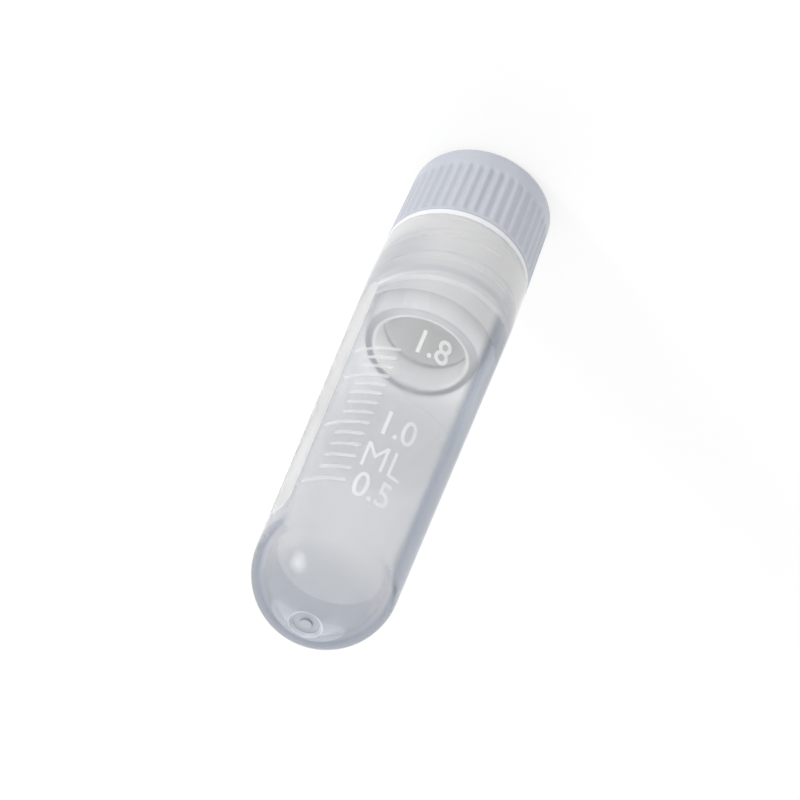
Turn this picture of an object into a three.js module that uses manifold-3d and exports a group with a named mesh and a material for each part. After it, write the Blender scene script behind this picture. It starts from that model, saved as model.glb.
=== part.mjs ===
// A small freezing vial with a round bottom: a moulded tube, a ribbed screw cap whose hollow
// plug goes down inside the tube, and a white washer between the two.
//
// Lengths are in millimetres and +Z is up. The vial stands on the flat top of its cap, so the
// origin is the centre of that flat face and the round bottom of the tube points up.

import * as THREE from "three";
import { mergeVertices } from "three/addons/utils/BufferGeometryUtils.js";
import Module from "manifold-3d";

const wasm = await Module();
wasm.setup();

// ---------------------------------------------------------------- driving dimensions

// The closed vial, from the flat top of the cap to where the round bottom's sphere ends.
const VIAL_LENGTH = 52;

// Cap head: a short drum that widens slightly towards the tube, with upright grip ribs.
const HEAD_HEIGHT = 8.7;
const HEAD_TOP_RADIUS = 5.98;
const HEAD_RIM_RADIUS = 6.17;
const HEAD_EDGE_ROUND = 1.2;
const HEAD_TOP_WALL = 2.2;
const RIB_COUNT = 42;
const FLUTE_DEPTH = 0.3;
const FLUTE_START = 2.3; // from the flat top to the nearer end of the flutes
const FLUTE_LAND = 0.2; // plain rim between the flutes and the washer
const FLUTE_RUNOUT = 0.45; // length over which a flute rises to the surface at either end

// Plug: a threaded core, then a slimmer spigot with a sealing bead, hollow from its open end.
const PLUG_LENGTH = 11.7;
const PLUG_WALL = 0.95;
const PLUG_END_ROUND = 0.4;
const PLUG_MOUTH_CHAMFER = 0.15;
const SPIGOT_LENGTH = 3.7;
const SPIGOT_STEP = 0.07; // the spigot is this much slimmer than the threaded core
const BEAD_HEIGHT = 0.12;
const BEAD_WIDTH = 0.9;
const BEAD_FROM_END = 2.6;
const HOLLOW_DEPTH = 7; // the wide part of the hollow
const HOLLOW_LEDGE = 0.5; // how far the hollow narrows beyond that
const HOLLOW_CORNER = 0.35;
const PLUG_ROOT = 1; // how far the plug's body runs into the head that it is moulded with

// Washer.
const WASHER_THICKNESS = 0.6;
const WASHER_EDGE = 0.1;

// Tube.
const RIM_RADIUS = 6.15;
const RIM_EDGE = 0.15;
const NECK_LENGTH = 4.2; // from the rim to the widest point
const NECK_WALL = 0.7;
const MOUTH_CHAMFER = 0.2;
const BODY_RADIUS = 6.25;
const BOTTOM_RADIUS = 5.85;
const BOTTOM_WALL = 1.15;

// Gate mark at the pole: a shallow round dish with the stub of the sprue in it.
const DISH_RADIUS = 1.35;
const DISH_DEPTH = 0.25;
const DISH_SLOPE = 0.3;
const STUB_RADIUS = 0.5;
const STUB_HEIGHT = 0.2;

// Right-hand thread with two starts: ridges inside the neck, and matching ones on the plug.
const THREAD_STARTS = 2;
const THREAD_LEAD = 5.5;
const THREAD_HEIGHT = 0.35;
const THREAD_CREST = 0.5;
const THREAD_FLANK_DEGREES = 35;
const THREAD_SINK = 0.2; // how far a ridge is rooted into the wall that carries it
const THREAD_FADE_DEGREES = 24;
const NECK_THREAD_FROM_RIM = 0.95;
const NECK_THREAD_RISE = 7.3;
const NECK_THREAD_END_DEGREES = -15; // where the first ridge in the neck ends, about +Z from +X
const PLUG_THREAD_FROM_HEAD = 2.2;
const PLUG_THREAD_RISE = 4.6;

// Clearances.
const SEAT_GAP = 0.02; // between the washer's faces and what they seal against
const WASHER_BORE_GAP = 0.13;
const THREAD_GAP = 0.15; // from a crest to the wall it faces
const FLANK_GAP = 0.2; // along the axis, between the flanks that a tight cap presses together

// Facets.
const TURN_STEPS = 48;
const STEPS_PER_RIB = 4;
const ROUND_STEPS = 3;
const BOTTOM_STEPS = 10;

// ---------------------------------------------------------------- places that follow

const { degToRad, lerp, mapLinear } = THREE.MathUtils;

const FLUTE_END = HEAD_HEIGHT - FLUTE_LAND;
const PLUG_END = HEAD_HEIGHT + PLUG_LENGTH;
const WASHER_BASE = HEAD_HEIGHT + SEAT_GAP;
const WASHER_TOP = WASHER_BASE + WASHER_THICKNESS;
const TUBE_RIM = WASHER_TOP + SEAT_GAP;
const BOTTOM_CENTRE = VIAL_LENGTH - BOTTOM_RADIUS;

const BORE_RIM_RADIUS = RIM_RADIUS - NECK_WALL;
const BORE_END_RADIUS = BOTTOM_RADIUS - BOTTOM_WALL;
const boreRadiusAt = (z) => mapLinear(
  z, TUBE_RIM, BOTTOM_CENTRE, BORE_RIM_RADIUS, BORE_END_RADIUS);

// The plug is sized from the neck it screws into.
const NECK_THREAD_START = TUBE_RIM + NECK_THREAD_FROM_RIM;
const NECK_THREAD_END = NECK_THREAD_START + NECK_THREAD_RISE;
const PLUG_THREAD_START = HEAD_HEIGHT + PLUG_THREAD_FROM_HEAD;
const PLUG_THREAD_END = PLUG_THREAD_START + PLUG_THREAD_RISE;
const NECK_CREST_RADIUS = boreRadiusAt(NECK_THREAD_END) - THREAD_HEIGHT;
const PLUG_CREST_RADIUS = boreRadiusAt(PLUG_THREAD_END) - THREAD_GAP;
const CORE_RADIUS = NECK_CREST_RADIUS - THREAD_GAP;
const SPIGOT_RADIUS = CORE_RADIUS - SPIGOT_STEP;
const SPIGOT_START = PLUG_END - SPIGOT_LENGTH;
const HOLLOW_RADIUS = SPIGOT_RADIUS - PLUG_WALL;
const HOLLOW_STEP = PLUG_END - HOLLOW_DEPTH;

const flankWidth = (height) => height * Math.tan(degToRad(THREAD_FLANK_DEGREES));

// ---------------------------------------------------------------- helpers

// Points of an arc in the (radius, z) plane, between two angles in degrees.
function arc(centreRadius, centreZ, radius, fromDegrees, toDegrees, steps = ROUND_STEPS) {
  return Array.from({ length: steps + 1 }, (_, i) => {
    const angle = degToRad(lerp(fromDegrees, toDegrees, i / steps));
    return [centreRadius + radius * Math.cos(angle), centreZ + radius * Math.sin(angle)];
  });
}

// Turns a profile of [radius, z] points about +Z. It starts on the axis at its lowest point
// and ends on the axis at its highest, or it closes on itself.
function revolve(profile, steps = TURN_STEPS) {
  const points = profile.map(([radius, z]) => new THREE.Vector2(radius, z));
  const geometry = new THREE.LatheGeometry(points, steps);
  geometry.rotateX(Math.PI / 2);
  return geometry;
}

// Joins shared corners into one vertex each and drops the empty triangles at a lathe's poles.
function closeMesh(geometry) {
  geometry.deleteAttribute("normal");
  geometry.deleteAttribute("uv");
  const merged = mergeVertices(geometry, 1e-3);
  const corners = merged.index.array;
  const kept = [];
  for (let i = 0; i < corners.length; i += 3) {
    const [a, b, c] = corners.slice(i, i + 3);
    if (a !== b && b !== c && c !== a) {
      kept.push(a, b, c);
    }
  }
  merged.setIndex(kept);
  return merged;
}

function toSolid(geometry) {
  const closed = closeMesh(geometry);
  return new wasm.Manifold(new wasm.Mesh({
    numProp: 3,
    vertProperties: new Float32Array(closed.attributes.position.array),
    triVerts: new Uint32Array(closed.index.array),
  }));
}

function toMesh(solid, name, material) {
  const { vertProperties, triVerts } = solid.getMesh();
  const geometry = new THREE.BufferGeometry();
  geometry.setAttribute("position", new THREE.BufferAttribute(vertProperties, 3));
  geometry.setIndex(new THREE.BufferAttribute(triVerts, 1));
  geometry.computeVertexNormals();
  const mesh = new THREE.Mesh(geometry, material);
  mesh.name = name;
  return mesh;
}

// One thread ridge: a trapezium swept up a right-hand helix, fading in and out at its ends.
// side is 1 where the ridge stands out from a core and -1 where it stands into a bore.
function threadRidge({ startZ, rise, startDegrees, wallRadiusAt, crestRadius, side }) {
  const sweep = (360 * rise) / THREAD_LEAD;
  const sections = Math.ceil((sweep * TURN_STEPS) / 360);
  const positions = [];
  const index = [];
  for (let i = 0; i <= sections; i += 1) {
    const share = i / sections;
    const z = startZ + rise * share;
    const angle = degToRad(startDegrees + sweep * share);
    const fade = Math.min(1, (sweep * Math.min(share, 1 - share)) / THREAD_FADE_DEGREES);
    const root = wallRadiusAt(z) - side * THREAD_SINK;
    const faded = lerp(root, crestRadius, lerp(0.1, 1, fade));
    const halfCrest = THREAD_CREST / 2;
    const halfRoot = halfCrest + flankWidth(Math.abs(faded - root));
    const section = [
      [root, z - halfRoot],
      [faded, z - halfCrest],
      [faded, z + halfCrest],
      [root, z + halfRoot],
    ];
    for (const [radius, height] of section) {
      positions.push(radius * Math.cos(angle), radius * Math.sin(angle), height);
    }
    if (i < sections) {
      const first = 4 * i;
      for (let k = 0; k < 4; k += 1) {
        const [a, b] = [first + k, first + ((k + 1) % 4)];
        index.push(a, a + 4, b, b, a + 4, b + 4);
      }
    }
  }
  const last = 4 * sections;
  index.push(0, 1, 2, 0, 2, 3, last, last + 2, last + 1, last, last + 3, last + 2);
  if (side < 0) {
    index.reverse();
  }
  const geometry = new THREE.BufferGeometry();
  geometry.setAttribute("position", new THREE.Float32BufferAttribute(positions, 3));
  geometry.setIndex(index);
  return toSolid(geometry);
}

// All the starts of a thread, evenly spaced round the axis.
function threadRidges(options) {
  return Array.from({ length: THREAD_STARTS }, (_, i) => threadRidge({
    ...options,
    startDegrees: options.startDegrees + (360 * i) / THREAD_STARTS,
  }));
}

// ---------------------------------------------------------------- cap

// Depth of the grip flutes at z: 1 where they are full, 0 where they have run out.
function fluteDepthAt(z) {
  const fromEnd = Math.min(z - FLUTE_START, FLUTE_END - z);
  return THREE.MathUtils.clamp(fromEnd / FLUTE_RUNOUT, 0, 1);
}

function capHead() {
  const sideRadiusAt = (z) => mapLinear(
    z, HEAD_EDGE_ROUND, HEAD_HEIGHT, HEAD_TOP_RADIUS, HEAD_RIM_RADIUS);
  const sideHeights = [
    FLUTE_START,
    FLUTE_START + FLUTE_RUNOUT,
    FLUTE_END - FLUTE_RUNOUT,
    FLUTE_END,
    HEAD_HEIGHT,
  ];
  const geometry = revolve([
    [0, 0],
    ...arc(HEAD_TOP_RADIUS - HEAD_EDGE_ROUND, HEAD_EDGE_ROUND, HEAD_EDGE_ROUND, -90, 0),
    ...sideHeights.map((z) => [sideRadiusAt(z), z]),
    [0, HEAD_HEIGHT],
  ], RIB_COUNT * STEPS_PER_RIB);

  // Each rib takes four facets: its crest, a slope, the flute beside it, and the next slope.
  const stepAngle = (2 * Math.PI) / (RIB_COUNT * STEPS_PER_RIB);
  const position = geometry.attributes.position;
  for (let i = 0; i < position.count; i += 1) {
    const [x, y, z] = [position.getX(i), position.getY(i), position.getZ(i)];
    const radius = Math.hypot(x, y);
    const step = Math.round(Math.atan2(y, x) / stepAngle) + RIB_COUNT * STEPS_PER_RIB;
    if (step % STEPS_PER_RIB >= STEPS_PER_RIB / 2 && fluteDepthAt(z) > 0) {
      const scale = (radius - FLUTE_DEPTH * fluteDepthAt(z)) / radius;
      position.setXY(i, x * scale, y * scale);
    }
  }
  return toSolid(geometry);
}

function capPlug() {
  const beadMiddle = PLUG_END - BEAD_FROM_END;
  return toSolid(revolve([
    [0, HEAD_HEIGHT - PLUG_ROOT],
    [CORE_RADIUS, HEAD_HEIGHT - PLUG_ROOT],
    [CORE_RADIUS, SPIGOT_START],
    [SPIGOT_RADIUS, SPIGOT_START + SPIGOT_STEP],
    [SPIGOT_RADIUS, beadMiddle - BEAD_WIDTH / 2],
    [SPIGOT_RADIUS + BEAD_HEIGHT, beadMiddle],
    [SPIGOT_RADIUS, beadMiddle + BEAD_WIDTH / 2],
    ...arc(SPIGOT_RADIUS - PLUG_END_ROUND, PLUG_END - PLUG_END_ROUND, PLUG_END_ROUND, 0, 90),
    [0, PLUG_END],
  ]));
}

function capHollow() {
  const deepRadius = HOLLOW_RADIUS - HOLLOW_LEDGE;
  const beyond = PLUG_END + PLUG_MOUTH_CHAMFER;
  return toSolid(revolve([
    [0, HEAD_TOP_WALL],
    ...arc(deepRadius - HOLLOW_CORNER, HEAD_TOP_WALL + HOLLOW_CORNER, HOLLOW_CORNER, -90, 0),
    [deepRadius, HOLLOW_STEP],
    ...arc(HOLLOW_RADIUS - HOLLOW_CORNER, HOLLOW_STEP + HOLLOW_CORNER, HOLLOW_CORNER, -90, 0),
    [HOLLOW_RADIUS, PLUG_END - PLUG_MOUTH_CHAMFER],
    [HOLLOW_RADIUS + 2 * PLUG_MOUTH_CHAMFER, beyond],
    [0, beyond],
  ]));
}

function cap() {
  // The plug's ridges lie just beyond the neck's, on the side away from the cap's head, and
  // a tight cap pulls the two together.
  const overlap = PLUG_CREST_RADIUS - NECK_CREST_RADIUS;
  const beside = THREAD_CREST + flankWidth(overlap) + FLANK_GAP;
  const turnsFromNeckEnd = (PLUG_THREAD_START - beside - NECK_THREAD_END) / THREAD_LEAD;
  const ridges = threadRidges({
    startZ: PLUG_THREAD_START,
    rise: PLUG_THREAD_RISE,
    startDegrees: NECK_THREAD_END_DEGREES + 360 * turnsFromNeckEnd,
    wallRadiusAt: () => CORE_RADIUS,
    crestRadius: PLUG_CREST_RADIUS,
    side: 1,
  });
  return [capPlug(), ...ridges]
    .reduce((whole, piece) => whole.add(piece), capHead())
    .subtract(capHollow());
}

// ---------------------------------------------------------------- washer

function washer() {
  const bore = CORE_RADIUS + WASHER_BORE_GAP;
  const outer = RIM_RADIUS;
  return toSolid(revolve([
    [bore, WASHER_BASE + WASHER_EDGE],
    [bore + WASHER_EDGE, WASHER_BASE],
    [outer - WASHER_EDGE, WASHER_BASE],
    [outer, WASHER_BASE + WASHER_EDGE],
    [outer, WASHER_TOP - WASHER_EDGE],
    [outer - WASHER_EDGE, WASHER_TOP],
    [bore + WASHER_EDGE, WASHER_TOP],
    [bore, WASHER_TOP - WASHER_EDGE],
    [bore, WASHER_BASE + WASHER_EDGE],
  ]));
}

// ---------------------------------------------------------------- tube

function tubeOutside() {
  const dishEdgeDegrees = 90 - THREE.MathUtils.radToDeg(Math.asin(DISH_RADIUS / BOTTOM_RADIUS));
  const dishEdge = BOTTOM_CENTRE + BOTTOM_RADIUS * Math.sin(degToRad(dishEdgeDegrees));
  const dishFloor = dishEdge - DISH_DEPTH;
  return toSolid(revolve([
    [0, TUBE_RIM],
    [RIM_RADIUS - RIM_EDGE, TUBE_RIM],
    [RIM_RADIUS, TUBE_RIM + RIM_EDGE],
    [BODY_RADIUS, TUBE_RIM + NECK_LENGTH],
    ...arc(0, BOTTOM_CENTRE, BOTTOM_RADIUS, 0, dishEdgeDegrees, BOTTOM_STEPS),
    [DISH_RADIUS - DISH_SLOPE, dishFloor],
    [STUB_RADIUS, dishFloor],
    [STUB_RADIUS, dishFloor + STUB_HEIGHT],
    [0, dishFloor + STUB_HEIGHT],
  ]));
}

function tubeBore() {
  const below = TUBE_RIM - MOUTH_CHAMFER;
  return toSolid(revolve([
    [0, below],
    [BORE_RIM_RADIUS + 2 * MOUTH_CHAMFER, below],
    [boreRadiusAt(TUBE_RIM + MOUTH_CHAMFER), TUBE_RIM + MOUTH_CHAMFER],
    ...arc(0, BOTTOM_CENTRE, BORE_END_RADIUS, 0, 90, BOTTOM_STEPS),
  ]));
}

function tube() {
  const ridges = threadRidges({
    startZ: NECK_THREAD_START,
    rise: NECK_THREAD_RISE,
    startDegrees: NECK_THREAD_END_DEGREES - (360 * NECK_THREAD_RISE) / THREAD_LEAD,
    wallRadiusAt: boreRadiusAt,
    crestRadius: NECK_CREST_RADIUS,
    side: -1,
  });
  return ridges.reduce(
    (whole, ridge) => whole.add(ridge),
    tubeOutside().subtract(tubeBore()));
}

// ---------------------------------------------------------------- the vial

const capMaterial = new THREE.MeshStandardMaterial({
  color: 0xc4c8d4, roughness: 0.35, metalness: 0, transparent: true, opacity: 0.75,
});
const tubeMaterial = new THREE.MeshStandardMaterial({
  color: 0xcdd0da, roughness: 0.3, metalness: 0, transparent: true, opacity: 0.6,
});
const washerMaterial = new THREE.MeshStandardMaterial({
  color: 0xf2f2f0, roughness: 0.55, metalness: 0,
});

const vial = new THREE.Group();
vial.add(toMesh(cap(), "cap", capMaterial));
vial.add(toMesh(washer(), "washer", washerMaterial));
vial.add(toMesh(tube(), "tube", tubeMaterial));

export default vial;
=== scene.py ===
# %% [markdown]
# # A freezing vial in milky plastic
# This lesson dresses a small laboratory vial: a round-bottomed tube, a ribbed screw cap with
# a hollow plug that reaches down inside the tube, and a white washer between the two.
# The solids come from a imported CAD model. They have the right sizes, but they are faceted,
# and light bends visibly at every facet of a clear plastic. So each solid gets a smooth twin
# that is turned from the same profile, and the printing goes on the tube as well.
# Everything is in metres. The vial stands on the flat top of its cap, so the round bottom
# of the tube points up, along +Z.

import math

import bmesh
import bpy
import numpy as np
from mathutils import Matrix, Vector


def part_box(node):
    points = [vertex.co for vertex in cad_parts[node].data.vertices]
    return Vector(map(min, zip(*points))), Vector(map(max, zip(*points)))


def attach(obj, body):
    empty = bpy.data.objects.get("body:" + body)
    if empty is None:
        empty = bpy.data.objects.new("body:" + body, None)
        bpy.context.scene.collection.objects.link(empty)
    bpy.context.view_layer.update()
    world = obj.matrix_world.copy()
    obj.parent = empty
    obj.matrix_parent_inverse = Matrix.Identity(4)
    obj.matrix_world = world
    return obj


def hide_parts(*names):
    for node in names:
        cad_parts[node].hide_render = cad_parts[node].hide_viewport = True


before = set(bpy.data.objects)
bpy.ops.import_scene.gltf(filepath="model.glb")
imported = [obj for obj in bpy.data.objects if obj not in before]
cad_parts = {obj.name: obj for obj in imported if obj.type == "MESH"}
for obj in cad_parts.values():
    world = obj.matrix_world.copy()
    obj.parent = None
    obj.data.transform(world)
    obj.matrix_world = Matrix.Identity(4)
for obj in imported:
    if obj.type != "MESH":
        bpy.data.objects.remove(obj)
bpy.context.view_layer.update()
MM = 0.001
for node in sorted(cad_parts):
    low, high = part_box(node)
    print(node, "reaches from", round(low.z / MM, 2), "to", round(high.z / MM, 2), "mm")

# %% [markdown]
# ## Sizes
# The heights that everything hangs on are read from the solids: the cap's plug end, the
# washer's faces, the tube's rim and its pole. What the boxes can't tell, such as a wall or
# the pitch of a thread, is written here once, in millimetres, and used by name after that.

# %% Heights and radii
_, cap_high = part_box("cap")
washer_low, washer_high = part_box("washer")
tube_low, tube_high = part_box("tube")

plug_end = cap_high.z / MM
rim = tube_low.z / MM
pole = tube_high.z / MM
washer_base, washer_top = washer_low.z / MM, washer_high.z / MM
head_height = washer_base - 0.02
head_rim_radius = cap_high.x / MM
body_radius = tube_high.x / MM

rim_radius = 6.15
neck_widest = rim + 4.2
bottom_radius = 5.85
bottom_centre = 46.15
bore_rim_radius, bore_end_radius = 5.45, 4.70


def bore_radius_at(z):
    """Radius of the tube's tapered bore, in millimetres."""
    return np.interp(z, [rim, bottom_centre], [bore_rim_radius, bore_end_radius])


def outside_radius_at(z):
    """Radius of the tube's outside between the rim and the round bottom."""
    return np.interp(z, [rim, neck_widest, bottom_centre],
                     [rim_radius, body_radius, bottom_radius])


print("tube from", round(rim, 2), "to", round(pole, 2), "mm, radius", round(body_radius, 2))

# %% [markdown]
# ## Turned pieces
# A moulded vial is a turned form, so each piece is a profile swept round the axis. The
# profile is written as a few corners, each with the radius it is rounded to. `soften` turns
# a corner into a short arc and cuts the straight runs between corners to an even spacing.
# Rounded corners matter here: a real mould leaves no sharp edge, and a clear plastic shows
# its edges as thin bright and dark lines only when they have some width.

# %% Profile helper


def soften(corners, arc_steps=5):
    """Corners of (radius, z, rounding, spacing, zone) in mm as a dense list of (r, z, zone).

    spacing and zone belong to the run that follows the corner."""
    dense = []
    count = len(corners)
    for i, (r, z, rounding, spacing, zone) in enumerate(corners):
        here = np.array([r, z])
        before = np.array(corners[i - 1][:2])
        after = np.array(corners[(i + 1) % count][:2])
        points = [here]
        if rounding > 0:
            inward = (before - here) / np.linalg.norm(before - here)
            onward = (after - here) / np.linalg.norm(after - here)
            half = math.acos(np.clip(inward @ onward, -1, 1)) / 2
            reach = rounding / math.tan(half)
            start, end = here + inward * reach, here + onward * reach
            points = [
                (1 - t) ** 2 * start + 2 * t * (1 - t) * here + t ** 2 * end
                for t in np.linspace(0, 1, arc_steps + 1)
            ]
        if dense:
            last = np.array(dense[-1][:2])
            run = np.linalg.norm(points[0] - last)
            previous_spacing, previous_zone = corners[i - 1][3:]
            steps = max(1, math.ceil(run / previous_spacing))
            for t in np.arange(1, steps) / steps:
                between = last + (points[0] - last) * t
                dense.append((*between, previous_zone))
        dense += [(*p, zone) for p in points]
    return dense


def arc(centre_r, centre_z, radius, start, end, steps, spacing, zone):
    """Points of an arc in the profile, between two angles in degrees, as unrounded corners."""
    angles = np.radians(np.linspace(start, end, steps + 1))
    return [
        (centre_r + radius * math.cos(a), centre_z + radius * math.sin(a), 0, spacing, zone)
        for a in angles
    ]


# %% [markdown]
# `turned` sweeps a dense profile. Each zone of the profile may have a shift, a function of
# height and angle that moves the surface in or out. That is how the grip ribs and the
# screw thread are made: they are part of the one skin, as in a moulded piece, and no
# boolean cut is needed. Each zone may also have its own material.

# %% Turning helper


def turned(name, profile, steps, shifts=None, slots=None):
    """A smooth closed mesh swept round +Z. profile is (r, z, zone) in millimetres, either
    closed on itself or starting and ending on the axis, with the material on its left."""
    shifts, slots = shifts or {}, slots or {}
    angles = np.arange(steps) * 2 * math.pi / steps
    points, rows = [], []
    for r, z, zone in profile:
        if r < 1e-6:
            rows.append([len(points)] * steps)
            points.append((0, 0, z * MM))
            continue
        radii = np.full(steps, r)
        if zone in shifts:
            radii = radii + shifts[zone](z, angles)
        rows.append(list(range(len(points), len(points) + steps)))
        xs, ys = radii * np.cos(angles) * MM, radii * np.sin(angles) * MM
        points += zip(xs, ys, [z * MM] * steps)
    on_axis = profile[0][0] < 1e-6
    faces, materials = [], []
    for i in range(len(rows) - 1 if on_axis else len(rows)):
        a, b = rows[i], rows[(i + 1) % len(rows)]
        for j in range(steps):
            k = (j + 1) % steps
            corner = [a[j], a[k], b[k], b[j]]
            if a[0] == a[1]:
                corner = [a[j], b[k], b[j]]
            elif b[0] == b[1]:
                corner = [a[j], a[k], b[j]]
            faces.append(corner)
            materials.append(slots.get(profile[i][2], 0))
    mesh = bpy.data.meshes.new(name)
    mesh.from_pydata(points, [], faces)
    mesh.polygons.foreach_set("material_index", materials)
    mesh.polygons.foreach_set("use_smooth", [True] * len(faces))
    mesh.update()
    piece = bpy.data.objects.new(name, mesh)
    bpy.context.scene.collection.objects.link(piece)
    print(name, "has", len(mesh.polygons), "faces")
    return piece


# %% [markdown]
# ## The screw thread
# The thread is a right-hand one with two starts and a lead of 5.5 mm, and it holds for the
# first two thirds of a turn. A ridge stands into the tube's neck, and a matching one stands
# out from the plug. The helper works out how far a point of the wall lies from the nearest
# ridge and raises the wall there, with sloping flanks and ends that fade out. The ridge
# starts low and grows to its full height in its last third of a turn, so that the earlier
# turns show only faintly through the milky wall, and the last one shows clearly.

# %% Thread helper
thread_lead = 5.5
thread_crest = 0.5
thread_flank = math.tan(math.radians(35))
thread_fade = math.radians(24)
thread_grow = math.radians(120), math.radians(200)
thread_end_angle = math.radians(-15)
thread_early_share = 0.4


def thread_ridge(start_z, rise, start_angle, root_radius_at, crest_radius):
    """A shift for turned(): the height of a two-start ridge over its wall, in millimetres."""
    sweep = 2 * math.pi * rise / thread_lead

    def shift(z, angles):
        root = root_radius_at(z)
        height = crest_radius - root
        slope = abs(height) * thread_flank
        raised = np.zeros_like(angles)
        for start in (0, math.pi):
            first = np.mod(angles - start_angle - start, 2 * math.pi)
            for turn in range(math.ceil(sweep / (2 * math.pi)) + 1):
                along = first + 2 * math.pi * turn
                centre = start_z + thread_lead * along / (2 * math.pi)
                away = np.abs(z - centre) - thread_crest / 2
                body = np.clip(1 - away / slope, 0, 1)
                body = body * body * (3 - 2 * body)
                fade = np.clip(np.minimum(along, sweep - along) / thread_fade, 0, 1)
                fade = fade * np.interp(sweep - along, thread_grow, [1, thread_early_share])
                raised = np.maximum(raised, body * fade)
        return raised * height

    return shift


neck_thread_start, neck_thread_rise = rim + 0.95, 7.3
neck_thread_end = neck_thread_start + neck_thread_rise
plug_thread_start, plug_thread_rise = head_height + 2.2, 4.6
neck_crest_radius = bore_radius_at(neck_thread_end) - 0.35
plug_crest_radius = bore_radius_at(plug_thread_start + plug_thread_rise) - 0.15
core_radius = neck_crest_radius - 0.15
turn_per_mm = 2 * math.pi / thread_lead
neck_start_angle = thread_end_angle - neck_thread_rise * turn_per_mm
beside = thread_crest + (plug_crest_radius - neck_crest_radius) * thread_flank + 0.2
plug_start_angle = thread_end_angle + turn_per_mm * (
    plug_thread_start - beside - neck_thread_end)
print("thread crests at", round(neck_crest_radius, 2), "and",
      round(plug_crest_radius, 2), "mm")

# %% [markdown]
# ## The tube
# One injection moulding: a neck that flares a little below its rim, a wall that tapers so
# that the part leaves the mould, and a round bottom. At the pole is the gate, where the
# plastic came in: a shallow round dish with a small stub left by the sprue. The profile is
# split into zones, such as the neck, the body and the bore, because each gets a finish of
# its own. The highest faces of the thread are picked out afterwards for one more.

# %% Tube mesh
FINE, MIDDLE, WIDE = 0.09, 0.3, 0.6
dish_radius, dish_floor, stub_radius = 1.35, pole - 0.25, 0.5
stub_top = dish_floor + 0.2
dish_angle = math.degrees(math.acos(dish_radius / bottom_radius))
neck_low = 31.3
thread_zone_end = neck_thread_end + 0.9
crest_height = 0.33

tube_profile = soften([
    (0, bottom_centre + bore_end_radius, 0, MIDDLE, "bore"),
    *arc(0, bottom_centre, bore_end_radius, 88, 0, 28, WIDE, "bore"),
    (float(bore_radius_at(thread_zone_end)), thread_zone_end, 0, FINE, "thread"),
    (float(bore_radius_at(rim + 0.2)), rim + 0.2, 0.1, FINE, "rim"),
    (5.65, rim, 0.05, FINE, "rim"),
    (rim_radius, rim, 0.15, FINE, "neck"),
    (body_radius, neck_widest, 6, WIDE, "neck"),
    (float(outside_radius_at(neck_low)), neck_low, 0, WIDE, "body"),
    *arc(0, bottom_centre, bottom_radius, 0, dish_angle - 1.5, 30, MIDDLE, "body"),
    (dish_radius, pole, 0.1, MIDDLE, "gate"),
    (dish_radius - 0.3, dish_floor, 0.12, MIDDLE, "stub"),
    (stub_radius, dish_floor, 0.06, MIDDLE, "stub"),
    (stub_radius, stub_top, 0.08, MIDDLE, "stub"),
    (0, stub_top, 0, MIDDLE, "stub"),
])
neck_ridge = thread_ridge(neck_thread_start, neck_thread_rise, neck_start_angle,
                          bore_radius_at, neck_crest_radius)
TUBE_STEPS = 264
tube = turned("tube_body", tube_profile, TUBE_STEPS, shifts={"thread": neck_ridge},
              slots={"neck": 0, "bore": 1, "thread": 2, "rim": 3, "gate": 4, "stub": 5,
                     "body": 6})
THREAD, CREST = 2, 7
for face in tube.data.polygons:
    x, y, z = face.center / MM
    height = bore_radius_at(z) - math.hypot(x, y)
    if face.material_index == THREAD and height > crest_height:
        face.material_index = CREST
print("the crests take", sum(f.material_index == CREST for f in tube.data.polygons), "faces")

# %% [markdown]
# ## The cap
# The head is a short drum with 42 grip ribs that run out just before either end. Below it
# hangs the plug: a core with the thread, then a slimmer spigot with a sealing bead that
# presses on the bore. The plug is hollow from its open end, as such plugs are, so that the
# wall stays thin and doesn't sink as it cools. The flat end of the plug is split in an edge
# and a lip, and a narrow band of the hollow lies under the bead, for their own finishes.

# %% Cap mesh
head_top_radius, head_round, grip_radius = 5.98, 1.2, 6.0
rib_count, flute_depth = 42, 0.2
flute_start, flute_end, flute_runout = 2.3, head_height - 0.2, 0.45
spigot_radius = core_radius - 0.07
spigot_start = plug_end - 3.7
bead_middle, bead_half, bead_height = plug_end - 2.6, 0.45, 0.12
hollow_radius = spigot_radius - 0.95
hollow_deep_radius = hollow_radius - 0.5
hollow_step = plug_end - 7
head_wall = 2.2


def grip_flutes(z, angles):
    """Flutes between the grip ribs, with crests and floors that are both a little flat."""
    depth = np.clip(min(z - flute_start, flute_end - z) / flute_runout, 0, 1)
    phase = rib_count * angles - math.pi / 4
    across = np.clip(0.5 - 0.75 * np.cos(phase), 0, 1)
    across = across * across * (3 - 2 * across)
    return -flute_depth * depth * across


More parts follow.
